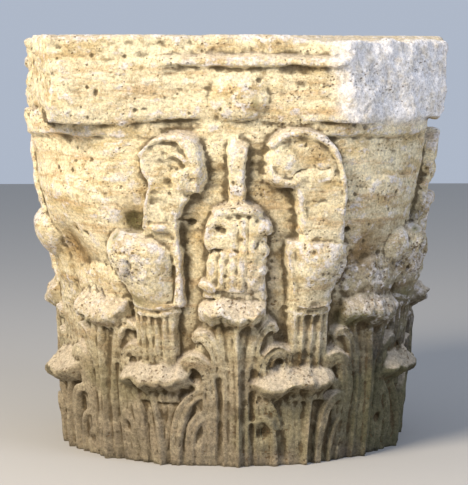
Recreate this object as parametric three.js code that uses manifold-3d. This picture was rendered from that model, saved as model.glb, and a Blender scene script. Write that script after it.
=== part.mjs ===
// A weathered Corinthian capital, carved from one block of porous limestone.
//
// Units are millimetres, +Z is up, and the origin is the centre of the lower bed, the flat face
// that the block stands on. Angles are measured round the axis from the front, which faces -Y, and
// grow towards +X. The block is one stone, so the bell, the leaves, the stalks and scrolls and the
// abacus are joined into a single solid, whose surface is worn a little all over.

import * as THREE from "three";
import { ImprovedNoise } from "three/addons/math/ImprovedNoise.js";
import { mergeVertices } from "three/addons/utils/BufferGeometryUtils.js";
import Module from "manifold-3d";

const wasm = await Module();
wasm.setup();

// ---- Driving dimensions -------------------------------------------------------------------------

const HEIGHT = 600; // lower bed to upper bed
const FACES = 4; // the design repeats on each side of the block
const BED_RADIUS = 236; // the bell at the lower bed, behind the leaves
const LIP_RADIUS = 291; // the bell where it meets the abacus
const ABACUS_UNDERSIDE = 488;
const ABACUS_REACH = 298; // axis to the middle of a side of the abacus
const FILLET_BOTTOM = 562;
const FILLET_TOP = 574;
const LOWER_LEAF_TOP = 145;
const UPPER_LEAF_TOP = 250;
const CALYX_LEAF_TOP = 366;
const COLLAR_HEIGHT = 224; // the ring round each stalk
const SCROLL_HEIGHT = 428; // the middle of each inner scroll
const SCROLL_RADIUS = 46;
const ROOT = 14; // how far a carved piece runs into the bell behind it

const FULL_TURN = 2 * Math.PI;
const SIDE_STEP = FULL_TURN / FACES;
const degrees = THREE.MathUtils.degToRad;

// The carver set out each face by eye, so the left and right halves differ a little.
const STALK_ANGLES = [degrees(-24), degrees(22)];
const LOWER_LEAF_ANGLES = [degrees(-25), degrees(19)];

const steps = (count) => Array.from({ length: count + 1 }, (_, i) => i / count);

// ---- The bell, which every carved piece is laid on ----------------------------------------------

const FLARE_POWER = 1.25;
const CORNER_SWELL = 20; // how far the stone stands out at the corners, under the abacus
const CORNER_SPREAD = degrees(19);
const SWELL_START = 235;

function bellRadius(height) {
  const rise = THREE.MathUtils.clamp(height / ABACUS_UNDERSIDE, 0, 1);
  return BED_RADIUS + (LIP_RADIUS - BED_RADIUS) * rise ** FLARE_POWER;
}

function cornerSwell(angle, height) {
  const offDiagonal = THREE.MathUtils.euclideanModulo(angle, SIDE_STEP) - SIDE_STEP / 2;
  const grow = THREE.MathUtils.smoothstep(height, SWELL_START, ABACUS_UNDERSIDE);
  return CORNER_SWELL * grow * Math.exp(-((offDiagonal / CORNER_SPREAD) ** 2));
}

// Long wear moves every point a little, more on the large scale than on the small one.
const noise = new ImprovedNoise();
const WEAR = [
  { scale: 95, amount: 8 },
  { scale: 33, amount: 4 },
];

function worn(point) {
  const { x, y, z } = point;
  for (const { scale, amount } of WEAR) {
    point.x += amount * noise.noise(x / scale, y / scale, z / scale + 11.3);
    point.y += amount * noise.noise(x / scale + 5.1, y / scale, z / scale);
    point.z += 0.6 * amount * noise.noise(x / scale, y / scale + 7.9, z / scale);
  }
  return point;
}

// The point at a height, so far across from a piece's centre line and so far proud of the bell.
function onBell(angle, across, height, proud) {
  const bell = bellRadius(height);
  const turn = angle + across / (bell + proud / 2);
  const radius = bell + cornerSwell(turn, height) + proud;
  return worn(new THREE.Vector3(radius * Math.sin(turn), -radius * Math.cos(turn), height));
}

// ---- Solids -------------------------------------------------------------------------------------

// A closed geometry as a solid whose faces point outwards.
function solid(geometry) {
  geometry.deleteAttribute("normal");
  geometry.deleteAttribute("uv");
  const merged = mergeVertices(geometry, 1e-3);
  const vertProperties = new Float32Array(merged.attributes.position.array);
  const triVerts = new Uint32Array(merged.index.array);
  const made = new wasm.Manifold(new wasm.Mesh({ numProp: 3, vertProperties, triVerts }));
  if (made.volume() > 0) return made;
  for (let i = 0; i < triVerts.length; i += 3) {
    [triVerts[i + 1], triVerts[i + 2]] = [triVerts[i + 2], triVerts[i + 1]];
  }
  return new wasm.Manifold(new wasm.Mesh({ numProp: 3, vertProperties, triVerts }));
}

// A closed body through a row of outlines that all have as many points. place(k, point) puts a
// point of outline k in space, and the two ends are capped from their middles.
function loft(outlines, place) {
  const around = outlines[0].length;
  const rings = outlines.map((outline, k) => outline.map((point) => place(k, point)));
  const middles = [rings[0], rings.at(-1)].map((ring) => {
    return ring.reduce((sum, point) => sum.add(point), new THREE.Vector3()).divideScalar(around);
  });
  const firstMiddle = rings.length * around;
  const lastRing = firstMiddle - around;
  const index = [];
  for (let i = 0; i < around; i++) {
    const next = (i + 1) % around;
    for (let k = 0; k < lastRing; k += around) {
      index.push(k + i, k + next, k + around + i, k + next, k + around + next, k + around + i);
    }
    index.push(next, i, firstMiddle, lastRing + i, lastRing + next, firstMiddle + 1);
  }
  const positions = [...rings.flat(), ...middles].flatMap((point) => point.toArray());
  const geometry = new THREE.BufferGeometry();
  geometry.setAttribute("position", new THREE.Float32BufferAttribute(positions, 3));
  geometry.setIndex(index);
  return solid(geometry);
}

// ---- Kalathos: the bell itself ------------------------------------------------------------------

const BELL_SIDES = 40;
const BELL_LEVELS = 5;

function kalathos() {
  const heights = steps(BELL_LEVELS).map((share) => share * (ABACUS_UNDERSIDE + 20) - 9);
  const turns = steps(BELL_SIDES).slice(0, -1).map((share) => share * FULL_TURN);
  const outlines = heights.map(() => turns.map((turn) => new THREE.Vector2(turn, 0)));
  return loft(outlines, (k, point) => onBell(point.x, 0, heights[k], 0));
}

// ---- Acanthus leaves ----------------------------------------------------------------------------

// A leaf's front is bent at a few shares of the way up from its foot to its lip. At some of them
// a lobe of its edge stands out, and at the others a notch between two lobes cuts in.
const LOWER_LEVELS = [
  { rise: 0, lobe: 1 },
  { rise: 0.42, lobe: 0 },
  { rise: 0.7, lobe: 1 },
  { rise: 0.94, lobe: 0.5 },
];
const UPPER_LEVELS = [
  { rise: 0, lobe: 0.6 },
  { rise: 0.28, lobe: 1 },
  { rise: 0.46, lobe: 0 },
  { rise: 0.7, lobe: 1 },
  { rise: 0.94, lobe: 0.5 },
];
const CALYX_LEVELS = [
  { rise: 0, lobe: 0.4 },
  { rise: 0.5, lobe: 1 },
  { rise: 0.94, lobe: 0.6 },
];
const FURROW = 8; // depth between two ribs
const NOTCH = 0.18; // how far a notch cuts in, as a share of the leaf's half width
const LOBE_RISE = 12; // how much higher the outer end of a lobe lies than its middle

// The side view of a leaf at a share of its width, as points (proud of the bell, height).
function leafSection(leaf, share) {
  const { base, top, lip, proud, reach, folds } = leaf;
  const side = Math.abs(share);
  const furrow = Math.round(side * folds) % 2 === 0 ? 0 : FURROW;
  const lipFoot = top - lip + 7 * side ** 2;
  const front = leaf.levels.map(({ rise, lobe }) => {
    const hollow = 5 * side ** 2 + 6 * rise ** 2 + 9 * (1 - lobe) * side ** 4;
    const out = proud - hollow - furrow * (0.35 + 0.65 * rise);
    const height = base + rise * (lipFoot - base) + LOBE_RISE * rise * side ** 2;
    return new THREE.Vector2(out, Math.min(height, lipFoot - 2));
  });
  const tip = reach * (1 - 0.22 * side ** 2) - 0.3 * furrow;
  front.push(new THREE.Vector2(tip, lipFoot + 6), new THREE.Vector2(tip - 7, top - 4 - 5 * side ** 2));
  if (side === 1) for (const point of front) point.x = -4; // the edge turns down into the bell
  return [...front, new THREE.Vector2(-ROOT, top), new THREE.Vector2(-ROOT, base)];
}

function leafHalfWidth(leaf, level, share) {
  if (level >= leaf.levels.length) return leaf.lipHalfWidth;
  const { rise, lobe } = leaf.levels[level];
  const widening = THREE.MathUtils.lerp(leaf.footHalfWidth, leaf.halfWidth, Math.min(rise / 0.7, 1));
  return widening * (1 - NOTCH * (1 - lobe) * share ** 4);
}

function acanthusLeaf(leaf) {
  const shares = steps(2 * leaf.folds).map((share) => 2 * share - 1);
  const sections = shares.map((share) => {
    return leafSection(leaf, share).map((point, level) => ({ point, level }));
  });
  return loft(sections, (k, { point, level }) => {
    const share = shares[k];
    return onBell(leaf.angle, share * leafHalfWidth(leaf, level, share), point.y, point.x);
  });
}

// ---- Stalks: fluted stems, each with a ring and a sheath that the scrolls grow from --------------

const STALK_HALF_WIDTH = 32;
const STALK_PROUD = 24;
const STALK_FOOT = 105;
const FLUTES = 3;
const FLUTE_DEPTH = 6;

// Half of an oval, flat at the back, with flutes down its front.
function stalkOutline(halfWidth, proud, fluteDepth) {
  const front = steps(2 * FLUTES).map((share, i) => {
    const cut = i % 2 === 1 ? fluteDepth : 0;
    const turn = Math.PI * share;
    return new THREE.Vector2(-halfWidth * Math.cos(turn), (proud - cut) * Math.sin(turn) ** 0.6);
  });
  return [...front, new THREE.Vector2(halfWidth * 0.8, -ROOT), new THREE.Vector2(-halfWidth * 0.8, -ROOT)];
}

// Above the ring a leafy sheath opens, leaning to the corner, and the scroll grows out of its rim.
function stalk(angle, side) {
  // height, middle across towards the corner, half width, proud, flute depth
  const profile = [
    [STALK_FOOT, 0, STALK_HALF_WIDTH - 3, STALK_PROUD - 6, FLUTE_DEPTH],
    [COLLAR_HEIGHT - 11, 0, STALK_HALF_WIDTH, STALK_PROUD, FLUTE_DEPTH],
    [COLLAR_HEIGHT - 8, 0, STALK_HALF_WIDTH + 7, STALK_PROUD + 7, 0],
    [COLLAR_HEIGHT + 8, 0, STALK_HALF_WIDTH + 8, STALK_PROUD + 8, 0],
    [COLLAR_HEIGHT + 12, 1, STALK_HALF_WIDTH + 3, STALK_PROUD + 2, 0],
    [COLLAR_HEIGHT + 62, 7, STALK_HALF_WIDTH + 18, STALK_PROUD + 23, 2],
    [COLLAR_HEIGHT + 94, 7, STALK_HALF_WIDTH + 17, STALK_PROUD + 23, 2],
    [COLLAR_HEIGHT + 108, 3, STALK_HALF_WIDTH + 6, STALK_PROUD + 6, 0],
  ];
  const outlines = profile.map(([, , halfWidth, proud, flute]) => stalkOutline(halfWidth, proud, flute));
  return loft(outlines, (k, point) => {
    const [height, middle] = profile[k];
    return onBell(angle, point.x + side * middle, height, point.y);
  });
}

// ---- Inner scrolls: a ribbon with raised borders that hooks over towards the middle of the face --

const RIBBON_HALF_WIDTH = 19;
const RIBBON_PROUD = 29;
const RIBBON_HOLLOW = 6;
const SCROLL_INSET = 26; // how far the scroll's middle lies inside its stalk's centre line
const SCROLL_SWEEP = degrees(245);
const SCROLL_STEPS = 7;
const STEM_STEPS = 2;

function scroll(angle, side) {
  const middle = new THREE.Vector2(-side * SCROLL_INSET, SCROLL_HEIGHT);
  const foot = new THREE.Vector2(side * 2, COLLAR_HEIGHT + 72);
  const sweepRadius = SCROLL_RADIUS - RIBBON_HALF_WIDTH;
  const shoulder = new THREE.Vector2(middle.x + side * sweepRadius, SCROLL_HEIGHT);
  const path = steps(STEM_STEPS).slice(0, -1).map((share) => ({
    at: foot.clone().lerp(shoulder, share),
    across: new THREE.Vector2(side, 0),
    proud: RIBBON_PROUD - 4,
  }));
  for (const share of steps(SCROLL_STEPS)) {
    const turn = share * SCROLL_SWEEP;
    const across = new THREE.Vector2(side * Math.cos(turn), Math.sin(turn));
    const at = middle.clone().addScaledVector(across, sweepRadius * (1 + 0.15 * share));
    path.push({ at, across, proud: RIBBON_PROUD + 5 * share });
  }
  const half = RIBBON_HALF_WIDTH;
  const outlines = path.map(({ proud }) => [
    new THREE.Vector2(-half, -ROOT),
    new THREE.Vector2(-half, proud),
    new THREE.Vector2(-half * 0.2, proud - RIBBON_HOLLOW),
    new THREE.Vector2(half * 0.5, proud - RIBBON_HOLLOW),
    new THREE.Vector2(half, proud),
    new THREE.Vector2(half, -ROOT),
  ]);
  return loft(outlines, (k, point) => {
    const spot = path[k].at.clone().addScaledVector(path[k].across, point.x);
    return onBell(angle, spot.x, spot.y, point.y);
  });
}

// ---- Flower of the abacus and its stem ----------------------------------------------------------

const FLOWER_HALF_WIDTH = 46;
const FLOWER_HEIGHT = 510;
const FLOWER_PROUD = 15; // beyond the side of the abacus
const FLOWER_DEPTH = 40;
const FLOWER_STEM_HALF_WIDTH = 15;

function flowerStem(angle) {
  // height, half width, proud
  const profile = [
    [CALYX_LEAF_TOP - 30, FLOWER_STEM_HALF_WIDTH + 2, 22],
    [FLOWER_HEIGHT - 60, FLOWER_STEM_HALF_WIDTH, 19],
    [FLOWER_HEIGHT - 36, FLOWER_HALF_WIDTH * 0.5, 20],
    [FLOWER_HEIGHT - 10, FLOWER_HALF_WIDTH * 0.75, 22],
  ];
  const outlines = profile.map(([, halfWidth, proud]) => [
    new THREE.Vector2(-halfWidth, -ROOT),
    new THREE.Vector2(-halfWidth, proud - 6),
    new THREE.Vector2(-halfWidth * 0.45, proud),
    new THREE.Vector2(halfWidth * 0.45, proud),
    new THREE.Vector2(halfWidth, proud - 6),
    new THREE.Vector2(halfWidth, -ROOT),
  ]);
  return loft(outlines, (k, point) => onBell(angle, point.x, profile[k][0], point.y));
}

function flower(angle) {
  const boss = new THREE.SphereGeometry(1, 10, 5);
  boss.scale(FLOWER_HALF_WIDTH, FLOWER_DEPTH, FLOWER_HALF_WIDTH - 3);
  boss.translate(0, FLOWER_DEPTH - ABACUS_REACH - FLOWER_PROUD, FLOWER_HEIGHT);
  boss.rotateZ(angle);
  return solid(boss);
}

// ---- Abacus: four hollow sides, with a fillet near the top ---------------------------------------

const SIDE_HALF_LENGTH = 300;
const SIDE_HOLLOW = 24; // how much further out a side stands at its ends than in the middle
const SIDE_STEPS = 5;

function abacus() {
  // height, and how far the side stands out from ABACUS_REACH there
  const profile = [
    [ABACUS_UNDERSIDE - 3, -8],
    [ABACUS_UNDERSIDE + 6, -3],
    [FILLET_BOTTOM - 20, 1],
    [FILLET_BOTTOM - 1, 0],
    [FILLET_BOTTOM + 2, 6],
    [FILLET_TOP, 6],
    [FILLET_TOP + 3, 1],
    [HEIGHT + 6, 2],
  ];
  const outlines = profile.map(([, out]) => {
    const outline = [];
    for (let side = 0; side < FACES; side++) {
      for (const share of steps(SIDE_STEPS).slice(0, -1)) {
        const along = (2 * share - 1) * (SIDE_HALF_LENGTH + out);
        const away = ABACUS_REACH + out + SIDE_HOLLOW * (2 * share - 1) ** 2;
        const point = new THREE.Vector2(along, -away);
        outline.push(point.rotateAround(new THREE.Vector2(), side * SIDE_STEP));
      }
    }
    return outline;
  });
  return loft(outlines, (k, point) => worn(new THREE.Vector3(point.x, point.y, profile[k][0])));
}

// ---- Losses: each corner of the abacus, with its scroll, has broken away --------------------------

// The direction that a break faces, how far from the axis it lies, and how it leans.
const BREAKS = [
  { faces: 45, distance: 323, leans: 1 },
  { faces: -78, distance: 311, leans: -1.5 },
  { faces: 137, distance: 334, leans: -1 },
  { faces: -133, distance: 326, leans: 2 },
];
const BREAK_ROUGHNESS = 6;

function brokenCorner({ faces, distance, leans }) {
  const depth = 260;
  const away = new THREE.BoxGeometry(700, depth, 420, 8, 1, 5);
  const position = away.attributes.position;
  for (let i = 0; i < position.count; i++) {
    if (position.getY(i) < 0) continue; // the far side stays flat
    const rough = noise.noise(position.getX(i) / 70 + faces, position.getZ(i) / 55, 3.7);
    position.setY(i, position.getY(i) + BREAK_ROUGHNESS * rough);
  }
  away.translate(0, -(distance + depth / 2), 0);
  away.rotateX(degrees(leans));
  away.translate(0, 0, HEIGHT - 60);
  away.rotateZ(degrees(faces));
  return solid(away);
}

// Under each break a rough stump is left, where the corner scroll and the tip of the leaf below
// it were once one mass of stone.
function stump(angle) {
  // height, half width, proud
  const profile = [
    [UPPER_LEAF_TOP - 20, 40, 24],
    [UPPER_LEAF_TOP + 25, 55, 30],
    [UPPER_LEAF_TOP + 75, 46, 22],
    [UPPER_LEAF_TOP + 105, 30, 2],
  ];
  const outlines = profile.map(([, halfWidth, proud]) => [
    new THREE.Vector2(-halfWidth, -ROOT),
    new THREE.Vector2(-halfWidth * 0.7, proud * 0.7),
    new THREE.Vector2(-halfWidth * 0.1, proud),
    new THREE.Vector2(halfWidth * 0.6, proud * 0.8),
    new THREE.Vector2(halfWidth, -ROOT),
  ]);
  return loft(outlines, (k, point) => onBell(angle, point.x, profile[k][0], point.y));
}

// ---- The whole block -----------------------------------------------------------------------------

const FOOT = -9; // leaves and bell are carved past the lower bed, and then cut off level

const LOWER_LEAF = {
  levels: LOWER_LEVELS,
  base: FOOT,
  top: LOWER_LEAF_TOP,
  folds: 5,
  footHalfWidth: 58,
  halfWidth: 66,
  lipHalfWidth: 54,
  lip: 40,
  proud: 25,
  reach: 36,
};
const UPPER_LEAF = {
  levels: UPPER_LEVELS,
  base: FOOT,
  top: UPPER_LEAF_TOP,
  folds: 5,
  footHalfWidth: 34,
  halfWidth: 62,
  lipHalfWidth: 52,
  lip: 42,
  proud: 20,
  reach: 35,
};
const CALYX_LEAF = {
  levels: CALYX_LEVELS,
  base: 238,
  top: CALYX_LEAF_TOP,
  folds: 3,
  footHalfWidth: 40,
  halfWidth: 46,
  lipHalfWidth: 42,
  lip: 26,
  proud: 27,
  reach: 37,
};

function carvedPieces() {
  const pieces = [kalathos(), abacus()];
  for (let face = 0; face < FACES; face++) {
    const middle = face * SIDE_STEP;
    const corner = middle + SIDE_STEP / 2;
    pieces.push(
      acanthusLeaf({ ...UPPER_LEAF, angle: middle }),
      acanthusLeaf({ ...UPPER_LEAF, angle: corner }),
      acanthusLeaf({ ...CALYX_LEAF, angle: middle }),
      stump(corner),
      flowerStem(middle),
      flower(middle),
    );
    for (const [half, side] of [-1, 1].entries()) {
      const angle = middle + STALK_ANGLES[half];
      pieces.push(stalk(angle, side), scroll(angle, side));
      pieces.push(acanthusLeaf({ ...LOWER_LEAF, angle: middle + LOWER_LEAF_ANGLES[half] }));
    }
  }
  return pieces;
}

// The two beds are cut level, so that the block stands flat and carries a flat stone.
function betweenBeds() {
  const slab = new THREE.BoxGeometry(1000, 1000, HEIGHT);
  slab.translate(0, 0, HEIGHT / 2);
  return solid(slab);
}

function capitalGeometry() {
  let block = carvedPieces().reduce((joined, piece) => joined.add(piece));
  for (const corner of BREAKS) block = block.subtract(brokenCorner(corner));
  const { numProp, numVert, vertProperties, triVerts } = block.intersect(betweenBeds()).getMesh();
  const positions = new Float32Array(numVert * 3);
  for (let i = 0; i < numVert; i++) {
    positions.set(vertProperties.subarray(i * numProp, i * numProp + 3), i * 3);
  }
  const geometry = new THREE.BufferGeometry();
  geometry.setAttribute("position", new THREE.BufferAttribute(positions, 3));
  geometry.setIndex(new THREE.BufferAttribute(triVerts, 1));
  geometry.computeVertexNormals();
  return geometry;
}

const limestone = new THREE.MeshStandardMaterial({ color: 0xd2c19c, roughness: 0.95, metalness: 0 });

const capital = new THREE.Mesh(capitalGeometry(), limestone);
capital.name = "capital";

const group = new THREE.Group();
group.add(capital);

export default group;
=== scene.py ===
# A weathered Corinthian capital, carved from one block of porous travertine, its lower part stained
# by the soil that it stood in. The carving is drawn in millimetres on a flat sheet, as a mason draws
# it, and is then laid round the bell of the block.

import math

import bpy
import numpy as np
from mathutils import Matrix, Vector, noise
from mathutils.kdtree import KDTree


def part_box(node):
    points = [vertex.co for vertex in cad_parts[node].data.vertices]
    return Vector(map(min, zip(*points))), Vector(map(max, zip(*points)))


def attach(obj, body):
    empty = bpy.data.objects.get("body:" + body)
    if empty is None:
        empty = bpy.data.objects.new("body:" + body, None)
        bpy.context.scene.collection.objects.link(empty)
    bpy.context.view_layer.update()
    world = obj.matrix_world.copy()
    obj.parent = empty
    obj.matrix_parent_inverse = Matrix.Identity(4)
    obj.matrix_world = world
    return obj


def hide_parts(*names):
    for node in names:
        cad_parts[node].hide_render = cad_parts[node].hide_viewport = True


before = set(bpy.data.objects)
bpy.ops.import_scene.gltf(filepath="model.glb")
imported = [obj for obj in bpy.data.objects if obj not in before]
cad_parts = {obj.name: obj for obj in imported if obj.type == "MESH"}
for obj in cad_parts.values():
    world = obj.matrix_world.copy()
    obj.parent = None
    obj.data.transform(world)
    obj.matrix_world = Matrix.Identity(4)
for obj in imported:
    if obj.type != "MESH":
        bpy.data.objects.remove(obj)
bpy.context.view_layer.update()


# ---- Camera ---------------------------------------------------------------------------------------
# It stands 3 m in front of the block, a little to the left of its middle and just below the height
# of its upper edge, and looks slightly down.

QUARTER = math.pi / 2
VIEW_DISTANCE = 3.0
VIEW_HEIGHT = 0.57
VIEW_TURN = math.radians(-1.3)
VIEW_DIP = math.radians(5.31)
VIEW_SIDESTEP = 0.003

bpy.ops.object.camera_add(
    location=(
        VIEW_DISTANCE * math.sin(VIEW_TURN) + VIEW_SIDESTEP,
        -VIEW_DISTANCE * math.cos(VIEW_TURN),
        VIEW_HEIGHT,
    ),
    rotation=(QUARTER - VIEW_DIP, 0, VIEW_TURN),
)
camera = bpy.context.object
camera.name = "camera"
camera.data.lens = 148.3
bpy.context.scene.camera = camera


# ---- Bell -----------------------------------------------------------------------------------------
# The kalathos is the turned core of the block. It flares up to the abacus, and at the four corners
# the stone swells, where the corner scrolls were one mass with it before they broke away.

MM = 0.001
BED_RADIUS = 236
LIP_RADIUS = 291
ABACUS_UNDERSIDE = 488
FLARE_POWER = 1.25
CORNER_SWELLS = (28, 24, 30, 50)  # from the front right corner round to the front left one
CORNER_SPREAD = math.radians(22.5)
SWELL_START = 235
SWELL_FULL = 410
RIM_BOTTOM = 463
RIM_PROUD = 8
RIM_BEFORE = math.radians(22)  # the rim's angles are counted from this far before a side's middle
RIM_GROWS = (math.radians(30), math.radians(44))
RIM_FADES = (1.3, QUARTER)
BELL_LEVELS = 90


def smooth_step(value, start, end):
    share = np.clip((value - start) / (end - start), 0, 1)
    return share * share * (3 - 2 * share)


def bell_radius(height):
    rise = np.clip(height / ABACUS_UNDERSIDE, 0, 1)
    return BED_RADIUS + (LIP_RADIUS - BED_RADIUS) * rise**FLARE_POWER


def corner_swell(turn, height):
    off_diagonal = np.mod(turn, QUARTER) - QUARTER / 2
    corner = np.mod(turn // QUARTER, 4).astype(int)
    grow = smooth_step(height, SWELL_START, SWELL_FULL)
    return np.array(CORNER_SWELLS)[corner] * grow * np.exp(-((off_diagonal / CORNER_SPREAD) ** 4))


def rim_left(turn, height):
    """The moulded rim of the bell, left from the right-hand half of each side past the corner."""
    along = np.mod(turn + RIM_BEFORE, QUARTER)
    kept = smooth_step(along, *RIM_GROWS) * (1 - smooth_step(along, *RIM_FADES))
    return RIM_PROUD * kept * smooth_step(height, RIM_BOTTOM - 2, RIM_BOTTOM + 2)


def get_points(piece):
    points = np.empty(len(piece.data.vertices) * 3, np.float32)
    piece.data.vertices.foreach_get("co", points)
    return points.reshape(-1, 3).astype(float)


def set_points(piece, points):
    piece.data.vertices.foreach_set("co", np.asarray(points, np.float32).ravel())
    piece.data.update()


def lay_on_bell(piece, angle):
    """Wraps a flat drawing (x across, z height, -y proud of the bell, in mm) round the bell."""
    across, back, height = get_points(piece).T
    bell = bell_radius(height)
    turn = angle + across / (bell - back / 2)
    radius = bell + corner_swell(turn, height) - back
    laid = np.stack([radius * np.sin(turn), -radius * np.cos(turn), height], 1)
    set_points(piece, laid * MM)
    carved.append(piece)


carved = []  # every piece of carving, until all are one block

bpy.ops.object.select_all(action="DESELECT")
bpy.ops.mesh.primitive_circle_add(vertices=240, radius=1, fill_type="NGON")
bell = bpy.context.object
bpy.ops.object.mode_set(mode="EDIT")
for level in range(BELL_LEVELS):
    bpy.ops.mesh.extrude_region_move(TRANSFORM_OT_translate={"value": (0, 0, 1)})
bpy.ops.object.mode_set(mode="OBJECT")
points = get_points(bell)
bell_turn = np.arctan2(points[:, 0], -points[:, 1])
bell_height = points[:, 2] / BELL_LEVELS * (ABACUS_UNDERSIDE + 10)
radius = bell_radius(bell_height) + corner_swell(bell_turn, bell_height) + rim_left(bell_turn, bell_height)
radius *= np.hypot(points[:, 0], points[:, 1])
set_points(
    bell,
    np.stack([radius * np.sin(bell_turn), -radius * np.cos(bell_turn), bell_height], 1) * MM,
)
carved.append(bell)


# ---- Acanthus leaves ------------------------------------------------------------------------------
# Eight lower leaves stand round the foot and eight upper ones rise between them. Each is a fan of
# ribs with side lobes that curl over drilled eyes. The tips were undercut, and are now broken lips.

ROOT = 45  # how far every carved piece is run back into the bell


def flat_sheet(columns, rows):
    """A flat grid: the share across runs from -1 to 1 and the share up from 0 to 1."""
    bpy.ops.object.select_all(action="DESELECT")
    bpy.ops.mesh.primitive_grid_add(x_subdivisions=columns, y_subdivisions=rows, size=2)
    sheet = bpy.context.object
    points = get_points(sheet)
    return sheet, points[:, 0], (points[:, 1] + 1) / 2


def raise_relief(sheet, across, proud, height):
    """Shapes the sheet into a relief and gives it a back in the bell, so that it is solid."""
    set_points(sheet, np.stack([across, -proud, height], 1))
    bpy.ops.object.mode_set(mode="EDIT")
    bpy.ops.mesh.select_all(action="SELECT")
    bpy.ops.mesh.extrude_region_move(TRANSFORM_OT_translate={"value": (0, ROOT, 0)})
    bpy.ops.mesh.select_all(action="SELECT")
    bpy.ops.mesh.normals_make_consistent(inside=False)
    bpy.ops.object.mode_set(mode="OBJECT")
    return sheet


def run_through(values, at):
    """Reads a smooth curve, drawn through evenly spaced values, at the given shares of its length."""
    values = np.asarray(values, float)
    slopes = np.gradient(values)
    along = np.clip(at, 0, 1) * (len(values) - 1)
    place = np.clip(along.astype(int), 0, len(values) - 2)
    step = along - place
    rise = values[place + 1] - values[place]
    bend = step * (1 - step)
    ease = slopes[place] * (1 - step) - slopes[place + 1] * step + rise * (2 * step - 1)
    return values[place] + rise * step + bend * ease


def carve_ribbon(path, halves, prouds, crests=1, groove=0, fluted=False, edge=0.5):
    """A ribbon along a path of (across, height), with round ribs, or flutes between flat edges."""
    length = sum(math.dist(path[i], path[i + 1]) for i in range(len(path) - 1))
    columns = max(12, int(max(halves)))
    sheet, share, up = flat_sheet(columns, max(16, int(length / 1.8)))
    acrosses, heights = zip(*path)
    x, z = run_through(acrosses, up), run_through(heights, up)
    ahead, behind = np.clip(up + 0.01, 0, 1), np.clip(up - 0.01, 0, 1)
    run_x = run_through(acrosses, ahead) - run_through(acrosses, behind)
    run_z = run_through(heights, ahead) - run_through(heights, behind)
    run = np.hypot(run_x, run_z)
    half = run_through(halves, up)
    place = share * crests / 2 + (0 if crests % 2 == 1 else 0.5)
    offset = np.abs(place - np.round(place)) * 2
    depth = np.sqrt(1 - np.clip((1 - offset) / 0.66, 0, 1) ** 2) if fluted else offset**2.2
    rim = np.clip((1 - np.abs(share)) / edge, 0, 1)
    section = np.sqrt(1 - (1 - rim) ** 2)
    proud = run_through(prouds, up) * section - groove * depth * (crests > 1)
    return raise_relief(sheet, x + share * half * run_z / run, proud - 3, z - share * half * run_x / run)


def carve_lip(low, high, half, reach, middle):
    """A broken tip: undercut below its lower edge, with a rough scar that slopes back to the bell.

    Its lower and upper edges are given as heights, evenly spaced from its left end to its right.
    """
    sheet, share, up = flat_sheet(90, 60)
    side = (share + 1) / 2
    scallops = np.abs(np.sin(4.3 * share + middle))
    ragged = 3 - 4 * scallops + 1.5 * np.sin(16 * share + 2 * middle + reach) + np.sin(31 * share + reach)
    bottom = run_through(low, side) + ragged
    top = run_through(high, side) + 1.5 * np.sin(11 * share + reach)
    out = reach * (1 - 0.45 * share**4) + scallops + 1.5 * np.sin(13 * share + reach)
    stations = [0, 0.14, 0.26, 0.36, 0.52, 0.76, 1]
    share_out = np.interp(up, stations, [0.3, 0.72, 0.97, 1, 0.74, 0.4, 0])
    rise = np.interp(up, stations, [0, 0, 0, 0.1, 0.4, 0.72, 1])
    drop = np.interp(up, stations, [15, 6, 0, 0, 0, 0, 0])
    height = bottom + (top - bottom) * rise - drop
    return raise_relief(sheet, middle + share * half, out * share_out, height)


def join_pieces(pieces):
    bpy.ops.object.select_all(action="DESELECT")
    for piece in pieces:
        piece.select_set(True)
    bpy.context.view_layer.objects.active = pieces[0]
    bpy.ops.object.join()
    return bpy.context.object


def copy_of(piece):
    bpy.ops.object.select_all(action="DESELECT")
    piece.select_set(True)
    bpy.context.view_layer.objects.active = piece
    bpy.ops.object.duplicate(linked=False)
    return bpy.context.object


def carve_lower_leaf(lip, midrib, fan, lobes):
    """A midrib in a fan of ribs below the lip, and bundles of ribs that bend out round a hollow.

    Each lobe is given as its path, its half width, how many ribs it has and how proud it stands.
    """
    pieces = [
        carve_ribbon([(0, 0), (0, 60), (0, 118)], [62, 64, 56], [15, 15, 8], edge=0.3),
        carve_ribbon(midrib, [6, 6, 6, 7, 8], [30, 31, 30, 26, 18], edge=1),
        carve_ribbon(fan, [12, 14, 18, 25, 35], [21, 22, 19, 14, 10], crests=4, groove=5, edge=0.3),
        lip,
    ]
    for path, half, crests, proud in lobes:
        halves = [half * width for width in (0.8, 0.9, 1, 1, 0.8)]
        prouds = [proud + step for step in (-2, 0, 2, 1, -4)]
        pieces.append(carve_ribbon(path, halves, prouds, crests=crests, groove=5, edge=0.4))
    return join_pieces(pieces)


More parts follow.
